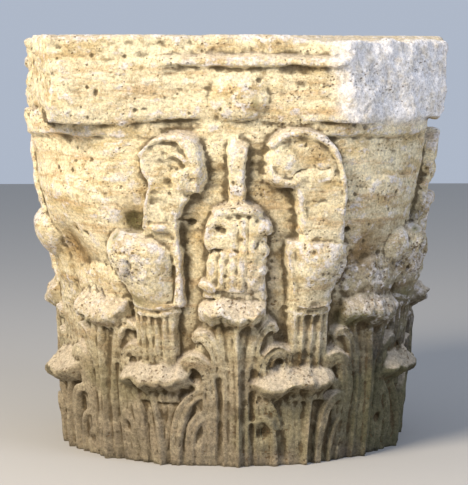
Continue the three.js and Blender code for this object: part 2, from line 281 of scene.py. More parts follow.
def carve_upper_leaf(lip):
    """A taller leaf with three curling lobes on each side, those on its right set higher."""
    pieces = [
        carve_ribbon([(0, 0), (0, 70), (0, 140), (0, 215)], [50, 58, 66, 46], [12, 14, 14, 13], edge=0.3),
        carve_ribbon(
            [(3, 0), (3, 70), (2, 140), (0, 190), (0, 218)],
            [6, 6, 7, 8, 8], [29, 31, 30, 25, 16], edge=1,
        ),
        carve_ribbon(
            [(0, 0), (0, 50), (0, 100), (0, 150), (0, 185), (2, 216)],
            [22, 22, 22, 25, 32, 42], [21, 23, 23, 21, 18, 13], crests=4, groove=5, edge=0.3,
        ),
        lip,
    ]
    for side, lift in ((-1, 0), (1, 12)):
        lobe = [(36, 0), (35, 60), (36, 104), (42, 136), (56, 150), (70, 142), (74, 126)]
        inner_lobe = [(50, 0), (50, 50), (50, 90), (53, 112), (60, 116)]
        upper_lobe = [(24, 126), (28, 156), (36, 178), (48, 186), (58, 178)]
        for path, halves, prouds, crests in (
            (lobe, [12, 13, 13, 13, 13, 12, 9], [17, 21, 23, 25, 25, 22, 17], 3),
            (inner_lobe, [6, 6, 6, 6, 4], [15, 18, 19, 20, 17], 1),
            (upper_lobe, [8, 9, 10, 9, 6], [20, 22, 23, 22, 17], 2),
        ):
            raised = [(side * x, z + lift * (z > 100)) for x, z in path]
            pieces.append(carve_ribbon(raised, halves, prouds, crests=crests, groove=5, edge=0.4))
    return join_pieces(pieces)


LOWER_LEAF_ANGLES = (math.radians(-25), math.radians(19))

centre_leaf = carve_upper_leaf(
    carve_lip([222, 217, 214, 207, 211, 228], [227, 239, 249, 249, 246, 238], 45, 43, -5)
)
corner_leaf = carve_upper_leaf(
    carve_lip([216, 208, 206, 200, 204, 218], [240, 254, 260, 258, 252, 240], 50, 40, 2)
)
left_leaf = carve_lower_leaf(
    carve_lip([119, 120, 115, 114, 118, 125], [132, 154, 164, 165, 158, 140], 56, 42, -4),
    midrib=[(5, 0), (5, 28), (2, 56), (-5, 86), (-12, 116)],
    fan=[(0, 0), (1, 28), (2, 60), (2, 92), (0, 120)],
    lobes=[
        ([(-22, 0), (-23, 28), (-26, 58), (-33, 86), (-46, 108)], 9, 2, 23),
        ([(-38, 0), (-38, 30), (-42, 58), (-52, 68), (-62, 54)], 7, 1, 21),
        ([(-54, 84), (-52, 92), (-51, 100), (-51, 108), (-51, 116)], 13, 1, 19),
        ([(24, 0), (26, 34), (33, 68), (46, 92), (64, 106)], 11, 2, 25),
        ([(43, 0), (45, 30), (51, 56), (61, 70), (75, 74)], 9, 2, 22),
        ([(57, 0), (57, 12), (58, 24), (62, 36), (70, 42)], 6, 1, 19),
    ],
)
right_leaf = carve_lower_leaf(
    carve_lip([114, 104, 112, 113, 111, 122], [128, 146, 153, 154, 150, 138], 60, 42, -3),
    midrib=[(14, 0), (15, 28), (17, 56), (20, 86), (27, 112)],
    fan=[(0, 0), (0, 28), (0, 60), (1, 92), (2, 120)],
    lobes=[
        ([(-28, 0), (-30, 34), (-34, 56), (-46, 68), (-59, 60)], 7, 1, 26),
        ([(-22, 50), (-26, 66), (-33, 82), (-43, 92), (-56, 96)], 7, 2, 22),
        ([(34, 0), (37, 40), (43, 72), (55, 92), (72, 94)], 9, 2, 27),
        ([(53, 0), (55, 26), (60, 48), (69, 61), (81, 60)], 6, 1, 24),
        ([(68, 0), (68, 12), (70, 24), (75, 33), (83, 32)], 5, 1, 21),
    ],
)
# how much of its relief the upper leaf in the middle of each side has kept, from the front round
LEFT_OF_LEAF = (1, 0.9, 0.95, 0.6)


def flattened(piece, share):
    """A drawing that has weathered until only a share of its relief is left."""
    set_points(piece, get_points(piece) * (1, share, 1))
    return piece


for face in range(4):
    middle = face * QUARTER
    lay_on_bell(flattened(copy_of(centre_leaf), LEFT_OF_LEAF[face]), middle)
    lay_on_bell(copy_of(corner_leaf), middle + QUARTER / 2)
    for leaf, angle in zip((left_leaf, right_leaf), LOWER_LEAF_ANGLES):
        lay_on_bell(copy_of(leaf), middle + angle)
for drawing in (centre_leaf, corner_leaf, left_leaf, right_leaf):
    bpy.data.objects.remove(drawing)


# ---- Stalks ---------------------------------------------------------------------------------------
# Behind the leaves rise eight fluted stalks, each bound by a double ring. Above the ring a leafy
# sheath opens towards the corner, and the scrolls grow out of its rim.

STALK_ANGLES = (math.radians(-24), math.radians(22))
RING_HEIGHT = 225
SHEATH_RIM = 314

# the folded edge of the sheath, which runs on into the scroll's inner border
STRIPS = {
    -1: [(32, 228), (35, 262), (36, 300), (34, 340), (39, 364), (51, 380)],
    1: [(18, 228), (22, 250), (27, 272), (31, 292), (32, 302), (30, 310)],
}


def carve_stalk(side):
    stem = carve_ribbon(
        [(3 * side, 90), (3 * side, 130), (4 * side, 170), (5 * side, 226)],
        [31, 32, 32, 34], [27, 29, 30, 30], crests=5 if side > 0 else 6, groove=5.5, fluted=True, edge=0.4,
    )
    rings = []
    for drop, proud in ((-5, 34), (5, 38)):
        sag = [(-34, 1), (-22, -4), (0, -7), (22, -4), (34, 1)]
        rings.append(
            carve_ribbon(
                [(x + 5 * side, RING_HEIGHT + drop + z) for x, z in sag],
                [4] * 5, [proud * share for share in (0.5, 0.88, 1, 0.88, 0.5)], edge=0.9,
            )
        )
    if side > 0:
        sheath = carve_ribbon(
            [(5, RING_HEIGHT - 6), (6, 246), (9, 268), (12, 291), (14, SHEATH_RIM)],
            [34, 37, 43, 48, 49], [31, 36, 41, 42, 33], edge=0.85,
        )
    else:
        sheath = carve_ribbon(
            [(-5, RING_HEIGHT - 6), (-7, 242), (-11, 265), (-15, 289), (-16, 311), (-14, 330)],
            [32, 36, 43, 48, 45, 30], [32, 43, 52, 57, 50, 30], edge=0.95,
        )
    strip = carve_ribbon(
        [(-side * x, z) for x, z in STRIPS[side]],
        [6, 5, 5, 5, 5, 5], [25, 28, 29, 29, 28, 28], crests=2, groove=4, edge=0.3,
    )
    return join_pieces([stem, sheath, strip] + rings)


def rough_lump(across, height, half_width, half_height, proud, angle):
    """A broken or worn knob: a ball, flattened on to the bell."""
    bpy.ops.object.select_all(action="DESELECT")
    bpy.ops.mesh.primitive_ico_sphere_add(subdivisions=5, radius=1)
    lump = bpy.context.object
    points = get_points(lump) * (half_width, proud, half_height)
    set_points(lump, points + (across, 0, height))
    lay_on_bell(lump, angle)


# what is left of each stalk's relief on the four sides, for the left and the right stalk
LEFT_OF_RELIEF = {-1: (0.8, 0.75, 0.65, 0.8), 1: (0.75, 0.65, 0.8, 0.3)}

for side, angle in zip((-1, 1), STALK_ANGLES):
    stalk = carve_stalk(side)
    for face, left in enumerate(LEFT_OF_RELIEF[side]):
        lay_on_bell(flattened(copy_of(stalk), left), face * QUARTER + angle)
        if side < 0:
            rough_lump(17, 337, 17, 7, 36 * left, face * QUARTER + angle)
    bpy.data.objects.remove(stalk)


# ---- Inner scrolls --------------------------------------------------------------------------------
# From each sheath a ribbon with raised borders climbs the bell and curls over towards the middle of
# the face. Its round end has a raised rim round a sunk field, and its eye is worn to a lump.

# measured from the axis of the stalk towards the middle of the face
SCROLLS = (
    {
        "stem": [(10, 300), (14, 322), (17, 348), (20, 364), (26, 382), (32, 404)],
        "halves": [28, 23, 19, 20, 23, 26],
        "head": (34, 424, 37, 38),
        "rim": [
            (0, 436), (9, 449), (24, 458), (43, 460), (57, 453), (65, 438), (67, 418), (65, 400),
            (59, 387),
        ],
        "rim_halves": [3, 4, 6, 9, 12, 13, 13, 12, 9],
        "rim_prouds": [30, 32, 34, 35, 35, 35, 35, 34, 31],
        "curl": [(25, 432), (38, 438), (51, 433), (59, 420), (60, 405), (54, 390)],
        "curl_halves": [4, 5, 6, 7, 9, 8],
        "border": [(-2, 336), (1, 350), (4, 368), (8, 390), (12, 408)],
        "lump": (50, 404, 24, 24, 37),
    },
    {
        "stem": [(-12, 300), (-12, 325), (-9, 345), (-6, 363), (-2, 386), (4, 404)],
        "halves": [38, 33, 30, 31, 33, 36],
        "head": (22, 430, 46, 39),
        "rim": [
            (-37, 336), (-32, 357), (-32, 378), (-29, 398), (-23, 422), (-12, 446), (6, 461), (30, 467),
            (52, 462), (68, 448),
        ],
        "rim_halves": [4, 4, 4, 5, 5, 6, 7, 7, 7, 4],
        "rim_prouds": [27, 28, 29, 30, 32, 34, 35, 35, 34, 30],
        "curl": [(68, 424), (65, 411), (55, 402), (43, 399), (28, 400)],
        "curl_halves": [7, 9, 10, 9, 6],
        "border": [(17, 330), (17, 345), (21, 366), (26, 388), (30, 402)],
        "lump": (46, 428, 27, 27, 30),
    },
)


def carve_scroll(side, scroll):
    inward = -side
    stem_path, border_path, rim_path, curl_path = (
        [(inward * x, z) for x, z in scroll[name]] for name in ("stem", "border", "rim", "curl")
    )
    stem = carve_ribbon(stem_path, scroll["halves"], [27] * 6, edge=0.3)
    border = carve_ribbon(border_path, [5] * 5, [27, 30, 30, 29, 27], edge=0.8)
    head_x, head_z, half_x, half_z = scroll["head"]
    head = carve_ribbon(
        [(inward * head_x, head_z + half_z * rise) for rise in (-1, -0.8, -0.4, 0, 0.4, 0.8, 1)],
        [half_x * width for width in (0.3, 0.65, 0.93, 1, 0.93, 0.65, 0.3)], [29] * 7, edge=0.15,
    )
    rim = carve_ribbon(rim_path, scroll["rim_halves"], scroll["rim_prouds"], edge=0.7)
    curl = carve_ribbon(curl_path, scroll["curl_halves"], [30, 33, 35, 35, 33], edge=0.9)
    return join_pieces([stem, border, head, rim, curl])


for side, angle, scroll in zip((-1, 1), STALK_ANGLES, SCROLLS):
    drawing = carve_scroll(side, scroll)
    across, height, half_width, half_height, proud = scroll["lump"]
    for face, left in enumerate(LEFT_OF_RELIEF[side]):
        lay_on_bell(flattened(copy_of(drawing), left), face * QUARTER + angle)
        rough_lump(-side * across, height, half_width, half_height, proud * left, face * QUARTER + angle)
    bpy.data.objects.remove(drawing)


# ---- Small leaf, stem and flower ------------------------------------------------------------------
# In the middle of each face a small leaf with a rolled tip stands on the tip of the upper one, and a
# stem climbs from it to the flower on the abacus, which is worn to a low boss.

FLOWER_HEIGHT = 519
LEFT_OF_SMALL_LEAF = (0.75, 0.7, 0.75, 0.4)

small_leaf = join_pieces(
    [
        carve_ribbon(
            [(-1, 240), (0, 265), (1, 300), (1, 330), (1, 356)],
            [44, 41, 41, 41, 36], [25, 28, 29, 29, 28], edge=0.2,
        ),
        carve_ribbon(
            [(-1, 250), (0, 275), (1, 300), (2, 325), (3, 358)],
            [28, 27, 27, 26, 26], [33, 35, 36, 36, 36], crests=4, groove=5, edge=0.2,
        ),
        carve_ribbon([(-19, 307), (-20, 325), (-20, 352)], [20, 19, 16], [36, 36, 35], edge=0.35),
        carve_ribbon(
            [(-32, 355), (-20, 360), (-6, 362), (10, 362), (24, 360), (34, 353)],
            [6, 9, 10, 10, 9, 7], [34, 41, 43, 43, 41, 34], edge=0.55,
        ),
    ]
    + [
        carve_ribbon(path, halves, prouds, edge=edge)  # the curled lobes down its two edges
        for path, halves, prouds, edge in (
            ([(-31, 350), (-37, 338), (-38, 320), (-34, 307)], [7, 7, 8, 6], [34, 36, 36, 33], 0.7),
            ([(-31, 300), (-33, 286), (-30, 268)], [8, 8, 7], [29, 31, 28], 0.8),
            ([(22, 320), (30, 336), (37, 340), (41, 328)], [10, 12, 12, 9], [33, 36, 35, 31], 0.9),
            ([(22, 290), (29, 303), (35, 308), (39, 298)], [9, 10, 10, 8], [31, 33, 32, 29], 0.9),
            ([(22, 250), (26, 266), (32, 280), (37, 272)], [9, 10, 10, 8], [30, 31, 31, 29], 0.9),
            ([(-28, 250), (-38, 256), (-48, 261)], [9, 8, 5], [34, 36, 31], 0.7),
        )
    ]
)
flower_stem = carve_ribbon(
    [(1, 350), (1, 385), (1, 415), (1.5, 438), (3, 452), (6, 462)],
    [15, 14, 15, 16, 15, 11], [15, 18, 19, 19, 10, 2], edge=0.4,
)
for face in range(4):
    lay_on_bell(flattened(copy_of(small_leaf), LEFT_OF_SMALL_LEAF[face]), face * QUARTER)
    lay_on_bell(copy_of(flower_stem), face * QUARTER)
    rough_lump(3, FLOWER_HEIGHT, 46, 36, 16.5, face * QUARTER)
for drawing in (small_leaf, flower_stem):
    bpy.data.objects.remove(drawing)


# ---- Abacus ---------------------------------------------------------------------------------------
# The slab on top has four hollow sides, with a fillet below its upper edge. All four corners have
# broken away, with the scrolls under them, and left rough faces.

ABACUS_REACH = 298
SIDE_HOLLOW = 24
FILLET_BOTTOM = 557
FILLET_TOP = 571
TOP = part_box("capital")[1].z / MM
BREAK_HEIGHT = 540  # where the distance to each broken face is measured; some of them lean
BREAKS = (
    {"faces": 45, "distance": 324, "leans": 1, "worn": 9},
    {"faces": -78, "distance": 311, "leans": -1.5, "worn": 4},
    {"faces": 137, "distance": 334, "leans": -1, "worn": 6},
    {"faces": -133, "distance": 326, "leans": 2, "worn": 8},
)

bpy.ops.object.select_all(action="DESELECT")
bpy.ops.mesh.primitive_cube_add(size=2)
abacus = bpy.context.object
bpy.ops.object.mode_set(mode="EDIT")
bpy.ops.mesh.select_all(action="SELECT")
bpy.ops.mesh.subdivide(number_cuts=90)
bpy.ops.object.mode_set(mode="OBJECT")
x, y, z = get_points(abacus).T
wave = 3 * np.sin(5 * x + 4 * y) + 2 * np.sin(11 * x - 9 * y + 1)  # the worn lower edge
underside = ABACUS_UNDERSIDE - 5 + wave
slab_height = underside + (z + 1) / 2 * (TOP - underside)
out = np.interp(
    slab_height,
    [ABACUS_UNDERSIDE - 5, ABACUS_UNDERSIDE + 5, 540, FILLET_BOTTOM, FILLET_TOP, TOP - 4, TOP],
    [-10, -6, 0, 1, 0, 2, -1],
)
fillet = np.interp(
    slab_height, [FILLET_BOTTOM - 1, FILLET_BOTTOM + 2, FILLET_TOP - 2, FILLET_TOP + 2], [0, 8, 8, 0]
)


def fillet_kept(along):
    """Each fillet has weathered away at one end, and is sharp up to the other."""
    return smooth_step(along, -0.4, -0.24) * (1 - smooth_step(along, 0.46, 0.49))


reach_x = ABACUS_REACH + out + fillet * fillet_kept(y * np.sign(x)) + SIDE_HOLLOW * y**2
reach_y = ABACUS_REACH + out + fillet * fillet_kept(-x * np.sign(y)) + SIDE_HOLLOW * x**2
set_points(abacus, np.stack([x * reach_x, y * reach_y, slab_height], 1) * MM)
bpy.ops.object.mode_set(mode="EDIT")
for broken in BREAKS:
    faces, leans = math.radians(broken["faces"]), math.radians(broken["leans"])
    away = Vector((math.sin(faces), -math.cos(faces), 0))
    bpy.ops.mesh.select_all(action="SELECT")
    bpy.ops.mesh.bisect(
        plane_co=away * broken["distance"] * MM + Vector((0, 0, BREAK_HEIGHT * MM)),
        plane_no=away * math.cos(leans) + Vector((0, 0, math.sin(leans))),
        use_fill=True,
        clear_outer=True,
    )
bpy.ops.object.mode_set(mode="OBJECT")
carved.append(abacus)


# ---- Broken corners -------------------------------------------------------------------------------
# Below each broken corner the stone swells in worn lumps, where the corner scroll came away.

for face in range(4):
    corner = face * QUARTER + QUARTER / 2
    rough_lump(0, 300, 80, 110, 11, corner)
    if face % 2 == 0:
        rough_lump(4, 258, 60, 42, 26, corner)
        rough_lump(38, 300, 30, 32, 28, corner)
    else:
        rough_lump(4, 250, 60, 40, 20, corner)
        rough_lump(-98, 318, 42, 36, 32, corner)


# ---- The block ------------------------------------------------------------------------------------
# All the carving is one stone. It is joined, worn by weather, roughest where it broke, and cut level
# at its two beds. Its grain is fine enough to keep the grooves between the ribs.

VOXEL = 0.0022
MOST_TRIANGLES = 195800


def finish_modifier(piece, kind, **settings):
    """Adds one modifier with its settings and applies it."""
    bpy.ops.object.select_all(action="DESELECT")
    piece.select_set(True)
    bpy.context.view_layer.objects.active = piece
    bpy.ops.object.modifier_add(type=kind)
    modifier = piece.modifiers[-1]
    for name, value in settings.items():
        setattr(modifier, name, value)
    bpy.ops.object.modifier_apply(modifier=modifier.name)


def paint_group(piece, name, weights):
    """Stores one weight for each vertex in a vertex group, in sixteenths."""
    group = piece.vertex_groups.new(name=name)
    steps = np.round(np.clip(weights, 0, 1) * 16).astype(int)
    for step in range(1, 17):
        group.add(np.flatnonzero(steps == step).tolist(), step / 16, "REPLACE")


def cloud(name, size, depth=2):
    texture = bpy.data.textures.new(name, "CLOUDS")
    texture.noise_scale = size
    texture.noise_depth = depth
    return texture


block = join_pieces(carved)
finish_modifier(block, "REMESH", mode="VOXEL", voxel_size=VOXEL)
finish_modifier(block, "SMOOTH", factor=0.5, iterations=1)

# bubbles that were closed in behind the carving are filled
bpy.ops.object.mode_set(mode="EDIT")
bpy.ops.mesh.select_all(action="SELECT")
bpy.ops.mesh.separate(type="LOOSE")
bpy.ops.object.mode_set(mode="OBJECT")
shells = list(bpy.context.selected_objects)
block = max(shells, key=lambda shell: len(shell.data.vertices))
for shell in shells:
    if shell is not block:
        bpy.data.objects.remove(shell)
block.name = "carved_capital"

# where the stone is roughest: degrees, height, reach and strength. The first lie on every side.
ROUGH_SPOTS = (
    (-29, 285, 42, 1.2), (-13, 404, 28, 0.6), (-18, 455, 24, 0.3), (9, 405, 24, 0.5), (15, 455, 26, 0.3),
    (0, 410, 18, 0.3), (-1, 356, 30, 0.25), (0, 300, 45, 0.3), (0, 252, 40, 0.5), (0, 225, 45, 0.5),
    (-25, 132, 50, 0.7), (19, 130, 52, 0.7), (45, 222, 50, 0.7), (22, 425, 30, 0.3), (22, 360, 30, 0.2),
)
ROUGH_PLACES = (
    (33, 272, 34, 1.0), (45, 268, 36, 1.0), (56, 275, 34, 0.9), (62, 330, 40, 0.7), (-56, 305, 26, 0.5),
    (-78, 340, 30, 0.8), (-64, 240, 36, 0.7), (120, 330, 60, 0.9), (150, 270, 50, 0.7), (215, 420, 60, 0.7),
    (235, 290, 50, 0.9), (170, 520, 60, 0.6),
)
# drilled eyes on every side, and pits: degrees, height, reach and depth
EYES = (
    (-4.9, 336, 5, 10), (-3.4, 334, 4, 7), (-12.4, 127, 6, 4), (10.5, 140, 6, 4), (-33.6, 150, 6, 4),
    (-36.2, 51, 6, 8), (8.2, 47, 7, 9), (35.6, 24, 5, 6), (-13.6, 343, 4, 8), (-12.4, 344, 3.5, 6),
)
PITS = (
    (32.3, 331, 4, 10), (-28.2, 350, 13, 7), (-42.6, 325, 3, 5), (-46.4, 330, 3.5, 5), (-42.8, 415, 2.5, 5),
    (-52, 300, 30, 9),
)
# cracks along the beds: from degrees and height to degrees and height, half width and depth
CRACKS = (
    (-7.8, 305, 0.2, 307, 2.0, 5), (5, 312, 8, 323, 2.0, 4), (14.8, 411, 20.2, 420, 1.6, 3.5),
    (20.2, 420, 24, 420, 1.5, 2.5), (-9, 343, -17, 345, 1.8, 3),
)


def from_spot(degrees, spot_height, once=False):
    """How far each vertex lies, over the surface, from a spot, or from the same one on any side."""
    period = 4 * QUARTER if once else QUARTER
    across = np.mod(turn - math.radians(degrees) + period / 2, period) - period / 2
    return np.hypot(across * radius, z - spot_height)


def roughness():
    """How rough the stone is at each vertex, from 0 to 1."""
    rough = 0.08 + 0.3 * np.exp(-(((z - TOP) / 12) ** 2)) + 0.05 * smooth_step(z, 480, 500)
    for spots, once in ((ROUGH_SPOTS, False), (ROUGH_PLACES, True)):
        for degrees, spot_height, reach, strength in spots:
            off = from_spot(degrees, spot_height, once) / reach
            rough = np.maximum(rough, strength * np.exp(-1.5 * off**2))
    return rough


def from_line(degrees, low, degrees_end, high):
    """How far each vertex lies from a line between two spots, on the nearest side."""
    start = math.radians(degrees)
    across = (np.mod(turn - start + QUARTER / 2, QUARTER) - QUARTER / 2) * radius
    run, climb = (math.radians(degrees_end) - start) * radius, high - low
    along = np.clip((across * run + (z - low) * climb) / (run**2 + climb**2), 0, 1)
    return np.hypot(across - along * run, z - low - along * climb)


def near_break(points, broken, start, end):
    """Grows from 0 to 1 between two distances from the plane of a broken corner."""
    faces = math.radians(broken["faces"])
    off_plane = points[:, 0] * math.sin(faces) - points[:, 1] * math.cos(faces) - broken["distance"]
    below, above = ABACUS_UNDERSIDE - 18, ABACUS_UNDERSIDE + 2
    return smooth_step(off_plane, start, end) * smooth_step(points[:, 2], below, above)


points = get_points(block) / MM
for broken in BREAKS:
    top_edge = near_break(points, broken, -90, 0) * smooth_step(points[:, 2], 550, TOP)
    points[:, 2] -= broken["worn"] * top_edge
set_points(block, points * MM)
x, y, z = points.T
turn = np.arctan2(x, -y)
radius = np.hypot(x, y)
broken_away = sum(near_break(points, broken, -26, 0) for broken in BREAKS)
paint_group(block, "broken", broken_away)
paint_group(block, "rough", np.maximum(roughness(), 0.35 * broken_away))
paint_group(block, "plain", 0.1 + 0.9 * smooth_step(z, 300, 380))

bpy.ops.object.empty_add()
level_beds = bpy.context.object  # the level beds of the stone: its noise is stretched sideways
level_beds.name = "beds"
level_beds.scale = (1, 1, 0.3)
chips = cloud("chips", 0.017, 3)
chips.noise_type = "HARD_NOISE"
# how the surface was roughed up: by what, how strongly, the level left as it was, and where
for texture, strength, mid_level, group in (
    (cloud("hand", 0.11), 0.010, 0.5, ""),
    (cloud("wear", 0.03), 0.0035, 0.5, ""),
    (cloud("break", 0.05), 0.020, 0.5, "broken"),
    (cloud("knocks", 0.045, 1), 0.012, 0.5, "rough"),
    (chips, 0.013, 0.35, "rough"),
):
    finish_modifier(
        block, "DISPLACE", texture=texture, strength=strength, mid_level=mid_level, vertex_group=group
    )
finish_modifier(
    block, "DISPLACE", texture=cloud("bedding", 0.03, 2), strength=0.003, mid_level=0.5,
    texture_coords="OBJECT", texture_coords_object=level_beds, vertex_group="plain",
)
bpy.data.objects.remove(level_beds)

# drilled eyes and open pores
PORE_COUNT = 320
PORE_LEVELS = (0.26, 0.597)  # they open in the bare stone above the leaves, here in metres
PORE_RADII = (0.0018, 0.0036)
points = get_points(block)
inward = np.zeros(len(points))
for pits, once in ((EYES, False), (PITS, True)):
    for degrees, spot_height, reach, deep in pits:
        inward += deep * np.exp(-((from_spot(degrees, spot_height, once) / reach) ** 2))
z += 3 * np.sin(radius * turn / 9) + 1.5 * np.sin(radius * turn / 3.7 + 1)  # cracks wander
for *line, half_width, deep in CRACKS:
    broken_up = 0.65 + 0.35 * np.sin(radius * turn / 6.1)
    inward += deep * broken_up * np.exp(-((from_line(*line) / half_width) ** 2))
chance = np.random.default_rng(7)
near = KDTree(len(points))
for index, point in enumerate(points):
    near.insert(point, index)
near.balance()
dug = 0
while dug < PORE_COUNT:
    centre = points[chance.integers(len(points))]
    bed = noise.noise(Vector((centre[0] * 6, centre[1] * 6, centre[2] * 55)))
    if centre[2] < PORE_LEVELS[0] or centre[2] > PORE_LEVELS[1] or bed < chance.uniform(-0.3, 0.6):
        continue
    size = chance.uniform(*PORE_RADII)
    for place, index, distance in near.find_range(centre, size * 1.6):
        inward[index] = max(inward[index], 1000 * size * math.exp(-((distance / size) ** 2)))
    dug += 1
normals = np.empty(len(points) * 3, np.float32)
block.data.vertices.foreach_get("normal", normals)
points -= normals.reshape(-1, 3) * (inward * MM)[:, None]
set_points(block, points)

FOOT_BAND = 0.003  # what lies lower than this is brought down to the bed


def cut_level(piece):
    """Cuts the stone level at its two beds."""
    points = get_points(piece)
    points[:, 2] = np.where(points[:, 2] < FOOT_BAND, 0, points[:, 2])
    points[:, 2] = np.minimum(points[:, 2], TOP * MM)
    set_points(piece, points)


cut_level(block)
triangles = sum(len(face.vertices) - 2 for face in block.data.polygons)
finish_modifier(
    block, "DECIMATE", ratio=min(1.0, MOST_TRIANGLES / triangles), use_collapse_triangulate=True
)
cut_level(block)
block.vertex_groups.clear()
bpy.ops.object.shade_smooth()


# ---- Stone ----------------------------------------------------------------------------------------
# Travertine, weathered outdoors: matt and warm, full of small pores in level beds. Dirt and painted
# shade darken the hollows, grooves, creases and pores, grey lichen grows on the edges, and the soil
# has stained the foot brown, with painted shade making it darker and higher on the right-hand side.
# Faces that turn up are painted paler, as dust and as painted top light, and the broken faces on the
# shaded right are painted pale grey, as fresh stone and as painted light.


def spread(values, links, rounds):
    """Averages each vertex's value with its neighbours', over and over."""
    first, second = links
    count = len(values)
    around = np.bincount(first, minlength=count) + np.bincount(second, minlength=count)
    for _ in range(rounds):
        gathered = np.bincount(first, values[second], count) + np.bincount(second, values[first], count)
        values = 0.5 * values + 0.5 * gathered / around
    return values


def store(piece, name, values):
    attribute = piece.data.attributes.new(name, "FLOAT", "POINT")
    attribute.data.foreach_set("value", np.asarray(values, np.float32))


links = np.empty(len(block.data.edges) * 2, np.int32)
block.data.edges.foreach_get("vertices", links)
links = links.reshape(-1, 2).T
normals = np.empty(len(block.data.vertices) * 3, np.float32)
block.data.vertices.foreach_get("normal", normals)
normals = normals.reshape(-1, 3)
points = get_points(block) / MM
# how far each vertex lies sunk below its neighbours, over three widths: the material paints the sunk places
# darker, as dirt and painted shade
for name, rounds, full in (("edge", 5, 1.0), ("groove", 18, 3.0), ("hollow", 60, 9)):
    sunk = sum((spread(points[:, k], links, rounds) - points[:, k]) * normals[:, k] for k in range(3))
    store(block, name, sunk / full)
# how far the surface faces up: the material paints such faces paler, as dust and painted top light
store(block, "rises", spread(normals[:, 2], links, 4))
store(block, "broken", spread(sum(near_break(points, broken, -22, -8) for broken in BREAKS), links, 3))
x, y, z = points.T
turn = np.arctan2(x, -y)
radius = np.hypot(x, y)
store(block, "rough", roughness())
# where moss grows and where iron has stained the stone: degrees, height, reach and strength
MOSS = (
    (-28.0, 345, 17, 0.5), (-31.5, 325, 7, 0.9), (4.6, 505, 7, 0.8), (-29, 233, 11, 0.5),
    (37, 205, 14, 0.6),
)
STAINS = (
    (11, 380, 24, 0.6), (9, 340, 18, 0.4), (21, 442, 16, 0.5), (-11, 330, 20, 0.3),
    (-52, 302, 30, 1.0), (-28.4, 352, 22, 0.7),
)
for name, spots in (("moss", MOSS), ("stain", STAINS)):
    cover = np.zeros(len(points))
    for degrees, spot_height, reach, strength in spots:
        cover = np.maximum(cover, strength * np.exp(-((from_spot(degrees, spot_height) / reach) ** 2)))
    store(block, name, cover)


def from_hex(text):
    channels = [int(text[i : i + 2], 16) / 255 for i in (1, 3, 5)]
    return [c / 12.92 if c <= 0.04045 else ((c + 0.055) / 1.055) ** 2.4 for c in channels] + [1]


travertine = bpy.data.materials.new("weathered_travertine")
travertine.use_nodes = True
nodes, wires = travertine.node_tree.nodes, travertine.node_tree.links
shader = nodes["Principled BSDF"]


def add_node(kind, inputs, output=0, **settings):
    """Adds a node, sets or wires its inputs, and gives back one of its outputs."""
    node = nodes.new(kind)
    for name, value in settings.items():
        setattr(node, name, value)
    for name, value in inputs.items():
        if isinstance(value, bpy.types.NodeSocket):
            wires.new(value, node.inputs[name])
        else:
            node.inputs[name].default_value = value
    return node.outputs[output]


place = add_node("ShaderNodeTexCoord", {}, "Object")
level = add_node("ShaderNodeMapping", {"Vector": place, "Scale": (1, 1, 3)})  # flattened along the beds
thin = add_node("ShaderNodeMapping", {"Vector": place, "Scale": (1, 1, 7)})
side = add_node("ShaderNodeSeparateXYZ", {0: place}, "X")
height = add_node("ShaderNodeSeparateXYZ", {0: place}, "Z")
edge, groove, hollow, rises, broken, rough, moss, stain = (
    add_node("ShaderNodeAttribute", {}, "Fac", attribute_name=name)
    for name in ("edge", "groove", "hollow", "rises", "broken", "rough", "moss", "stain")
)

# the largest forms of each pattern in mm, its detail and its roughness. The grain of the stone is
# finer than 1 mm, and is drawn coarser so that it shows.
patches, beds, streaks, mottle, grain, blotches, ripple, porous_beds = (
    add_node(
        "ShaderNodeTexNoise",
        {"Vector": vector, "Scale": 1 / (size * MM), "Detail": detail, "Roughness": coarseness},
    )
    for vector, size, detail, coarseness in (
        (place, 170, 3, 0.6),
        (level, 67, 5, 0.65),
        (thin, 90, 5, 0.7),
        (place, 17, 6, 0.75),
        (place, 4, 5, 0.85),
        (place, 14, 6, 0.8),
        (place, 7, 2, 0.6),
        (level, 83, 4, 0.6),
    )
)

# the foot is stained by soil, and towards the right-hand side painted shade makes the stain darker and
# reach higher
to_right = add_node("ShaderNodeMapRange", {0: side, 1: 0.07, 2: 0.21}, interpolation_type="SMOOTHSTEP")
over_soil_and_shade = add_node("ShaderNodeMath", {0: to_right, 1: -0.1, 2: height}, operation="MULTIPLY_ADD")

# shares that grow between two values of what they follow, here from their least to their most
soiled_and_shaded, above_soil, sharp, above_splash, scarred, well_above, shaded_right_side, many, most = (
    add_node(
        "ShaderNodeMapRange",
        {0: follows, 1: start, 2: end, 3: least, 4: greatest},
        interpolation_type="SMOOTHSTEP",
    )
    for follows, start, end, least, greatest in (
        (over_soil_and_shade, 0.33, 0.03, 0, 1),
        (height, 0.06, 0.12, 0, 1),
        (edge, -0.2, -0.9, 0, 0.75),
        (height, 0.14, 0.26, 0, 1),
        (rough, 0.3, 0.9, 0, 0.6),
        (height, 0.19, 0.26, 0, 1),
        (side, -0.1, 0.1, 0, 1),
        (porous_beds, 0.4, 0.66, 0.06, 0.36),
        (rough, 0.1, 0.8, 0, 0.42),
    )
)
sharp_edges = add_node("ShaderNodeMath", {0: sharp, 1: above_splash}, operation="MULTIPLY")
rough_faces = add_node("ShaderNodeMath", {0: scarred, 1: well_above}, operation="MULTIPLY")
overgrown = add_node("ShaderNodeMath", {0: sharp_edges, 1: rough_faces}, operation="MAXIMUM")
# the broken faces, only on the right-hand side, which lies in shade: painted light, and fresh stone
fresh_break_and_painted_light = add_node("ShaderNodeMath", {0: broken, 1: shaded_right_side}, operation="MULTIPLY")

